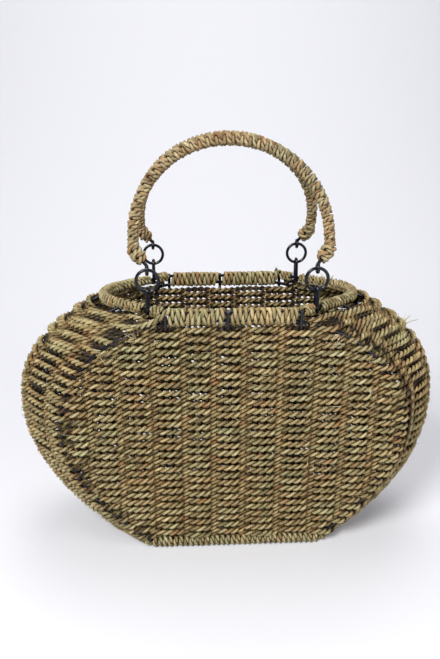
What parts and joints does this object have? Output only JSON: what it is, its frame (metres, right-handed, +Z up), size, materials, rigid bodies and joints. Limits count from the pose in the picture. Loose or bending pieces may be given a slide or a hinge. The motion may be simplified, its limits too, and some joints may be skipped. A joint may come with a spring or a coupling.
{
  "type": "basket box bag",
  "caption": "Woven seagrass box bag on a wire frame: flat front and back, rounded ends, open mouth and wrapped arched handles on loose rings.",
  "frame": {"origin": "middle of the base, on the surface the bag stands on", "axes": "+X along the bag to its right end, +Z up, the front panel faces -Y"},
  "size_m": [0.3394, 0.1224, 0.3211],
  "materials": {
    "woven_cord": "two-ply twisted seagrass cord, olive to straw, dry",
    "wrapped_cord": "seagrass cord wrapped side by side, straw to khaki",
    "handle_cord": "knotted seagrass cord, tan with brown",
    "black_wire": "gloss black lacquer on steel wire"
  },
  "bodies": {
    "basket": {"back_base_binding": "wrapped_cord", "back_hoop": "black_wire", "back_left_corner_coil": "wrapped_cord", "back_left_eyelet": "black_wire", "back_left_rim_wrap": "wrapped_cord", "back_left_wire": "black_wire", "back_middle_wire": "black_wire", "back_right_corner_coil": "wrapped_cord", "back_right_eyelet": "black_wire", "back_right_rim_wrap": "wrapped_cord", "back_right_wire": "black_wire", "base_panel": "woven_cord", "base_ring": "black_wire", "front_base_binding": "wrapped_cord", "front_hoop": "black_wire", "front_left_corner_coil": "wrapped_cord", "front_left_eyelet": "black_wire", "front_left_rim_wrap": "wrapped_cord", "front_left_wire": "black_wire", "front_middle_wire": "black_wire", "front_right_corner_coil": "wrapped_cord", "front_right_eyelet": "black_wire", "front_right_rim_wrap": "wrapped_cord", "front_right_wire": "black_wire", "left_back_rib": "black_wire", "left_base_binding": "wrapped_cord", "left_front_rib": "black_wire", "left_nose_rib": "black_wire", "left_rim_coil": "wrapped_cord", "mouth_ring": "black_wire", "right_back_rib": "black_wire", "right_base_binding": "wrapped_cord", "right_front_rib": "black_wire", "right_nose_rib": "black_wire", "right_rim_coil": "wrapped_cord", "woven_wall": "woven_cord"},
    "front_left_ring": {"front_left_ring": "black_wire"},
    "front_right_ring": {"front_right_ring": "black_wire"},
    "front_handle": {"front_handle_wire": "black_wire", "front_handle_wrap": "handle_cord"},
    "back_left_ring": {"back_left_ring": "black_wire"},
    "back_right_ring": {"back_right_ring": "black_wire"},
    "back_handle": {"back_handle_wire": "black_wire", "back_handle_wrap": "handle_cord"}
  },
  "joints": [
    {"name": "front_ring_swing", "type": "hinge", "parent": "basket", "child": "front_left_ring", "pos_m": [-0.061, -0.04672, 0.2117], "axis": [1, 0, 0], "range_deg": [0, 90]},
    {"name": "front_right_ring_swing", "type": "hinge", "parent": "basket", "child": "front_right_ring", "pos_m": [0.061, -0.04672, 0.2117], "axis": [1, 0, 0], "range_deg": [0, 90]},
    {"name": "front_handle_swing", "type": "hinge", "parent": "front_left_ring", "child": "front_handle", "pos_m": [-0.061, -0.04672, 0.2277], "axis": [1, 0, 0], "range_deg": [0, 100]},
    {"name": "back_ring_swing", "type": "hinge", "parent": "basket", "child": "back_left_ring", "pos_m": [-0.061, 0.04672, 0.2117], "axis": [-1, 0, 0], "range_deg": [0, 90]},
    {"name": "back_right_ring_swing", "type": "hinge", "parent": "basket", "child": "back_right_ring", "pos_m": [0.061, 0.04672, 0.2117], "axis": [-1, 0, 0], "range_deg": [0, 90]},
    {"name": "back_handle_swing", "type": "hinge", "parent": "back_left_ring", "child": "back_handle", "pos_m": [-0.061, 0.04672, 0.2277], "axis": [-1, 0, 0], "range_deg": [0, 100]}
  ],
  "couplings": [
    {"joint": "front_right_ring_swing", "follows": "front_ring_swing", "ratio": 1},
    {"joint": "back_right_ring_swing", "follows": "back_ring_swing", "ratio": 1}
  ]
}
